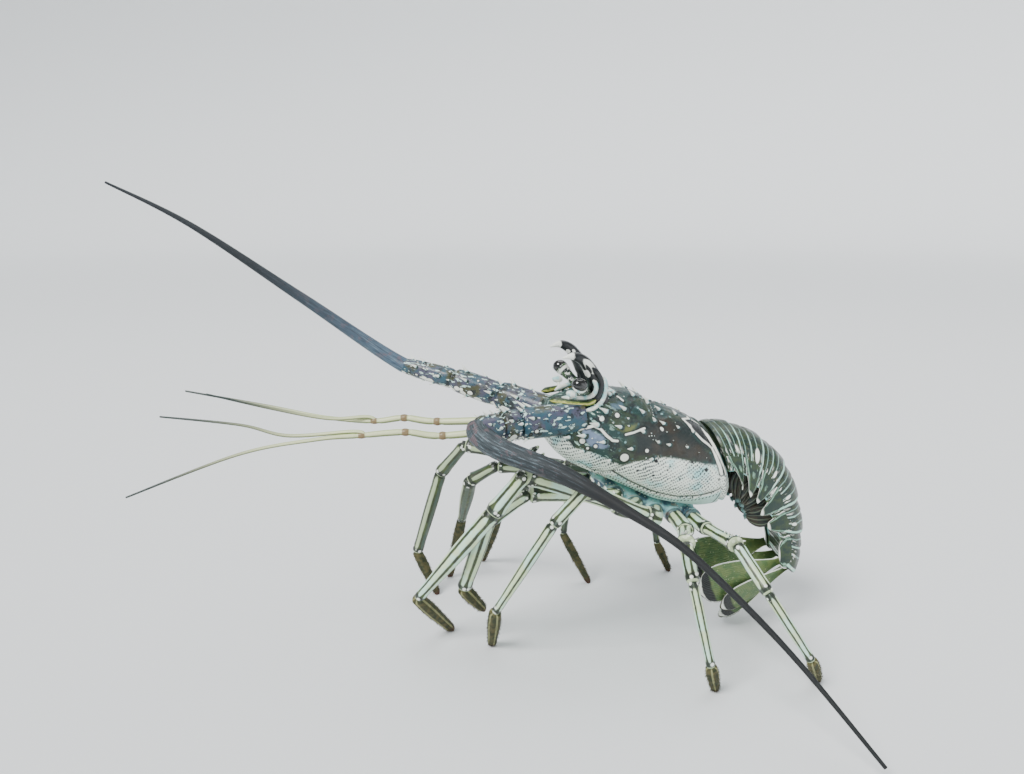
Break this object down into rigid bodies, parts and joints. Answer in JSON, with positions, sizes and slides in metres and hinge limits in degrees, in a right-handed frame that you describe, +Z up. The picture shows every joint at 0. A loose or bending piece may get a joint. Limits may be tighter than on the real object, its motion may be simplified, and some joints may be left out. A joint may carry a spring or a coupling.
{
  "type": "spiny lobster",
  "caption": "Life-size spiny lobster walking on its legs with the tail curled under, one antenna raised ahead and the other swept back.",
  "frame": {"origin": "centre of the box at floor level, under the animal", "axes": "+X from the head towards the tail, +Y towards the animal's right side, +Z up from the floor"},
  "size_m": [0.5712, 0.3769, 0.3649],
  "materials": {
    "shell": "satin shell, dark green and brown with pale sides",
    "limb": "satin, pale with dark lengthwise lines",
    "foot": "rough, bristly dark olive",
    "horn": "smooth, banded black and white",
    "eye": "wet black",
    "feeler": "slate grey, fading to black",
    "pale": "cream with brown joints",
    "belly": "pale, satin",
    "fan": "olive with a black band and a pale edge"
  },
  "bodies": {
    "root": {"carapace": "shell", "sternum": "belly", "horn_left": "horn", "eye_left": "eye", "mouth_leg_left": "limb", "antenna_left_base": "shell", "antenna_left_near": "feeler", "antenna_left_far": "feeler", "antennule_left_outer": "pale", "antennule_left_inner": "pale", "leg_left_1_upper": "limb", "leg_left_1_lower": "limb", "leg_left_1_foot": "foot", "leg_left_2_upper": "limb", "leg_left_2_lower": "limb", "leg_left_2_foot": "foot", "leg_left_3_upper": "limb", "leg_left_3_lower": "limb", "leg_left_3_foot": "foot", "leg_left_4_upper": "limb", "leg_left_4_lower": "limb", "leg_left_4_foot": "foot", "leg_left_5_upper": "limb", "leg_left_5_lower": "limb", "leg_left_5_foot": "foot", "fan_inner_left": "fan", "fan_outer_left": "fan", "horn_right": "horn", "eye_right": "eye", "mouth_leg_right": "limb", "antenna_right_base": "shell", "antenna_right_near": "feeler", "antenna_right_far": "feeler", "antennule_right_outer": "pale", "antennule_right_inner": "pale", "leg_right_1_upper": "limb", "leg_right_1_lower": "limb", "leg_right_1_foot": "foot", "leg_right_2_upper": "limb", "leg_right_2_lower": "limb", "leg_right_2_foot": "foot", "leg_right_3_upper": "limb", "leg_right_3_lower": "limb", "leg_right_3_foot": "foot", "leg_right_4_upper": "limb", "leg_right_4_lower": "limb", "leg_right_4_foot": "foot", "leg_right_5_upper": "limb", "leg_right_5_lower": "limb", "leg_right_5_foot": "foot", "fan_inner_right": "fan", "fan_outer_right": "fan", "tail_segment_1": "shell", "tail_segment_2": "shell", "tail_segment_3": "shell", "tail_segment_4": "shell", "tail_segment_5": "shell", "tail_segment_6": "shell", "telson": "fan"}
  },
  "joints": []
}
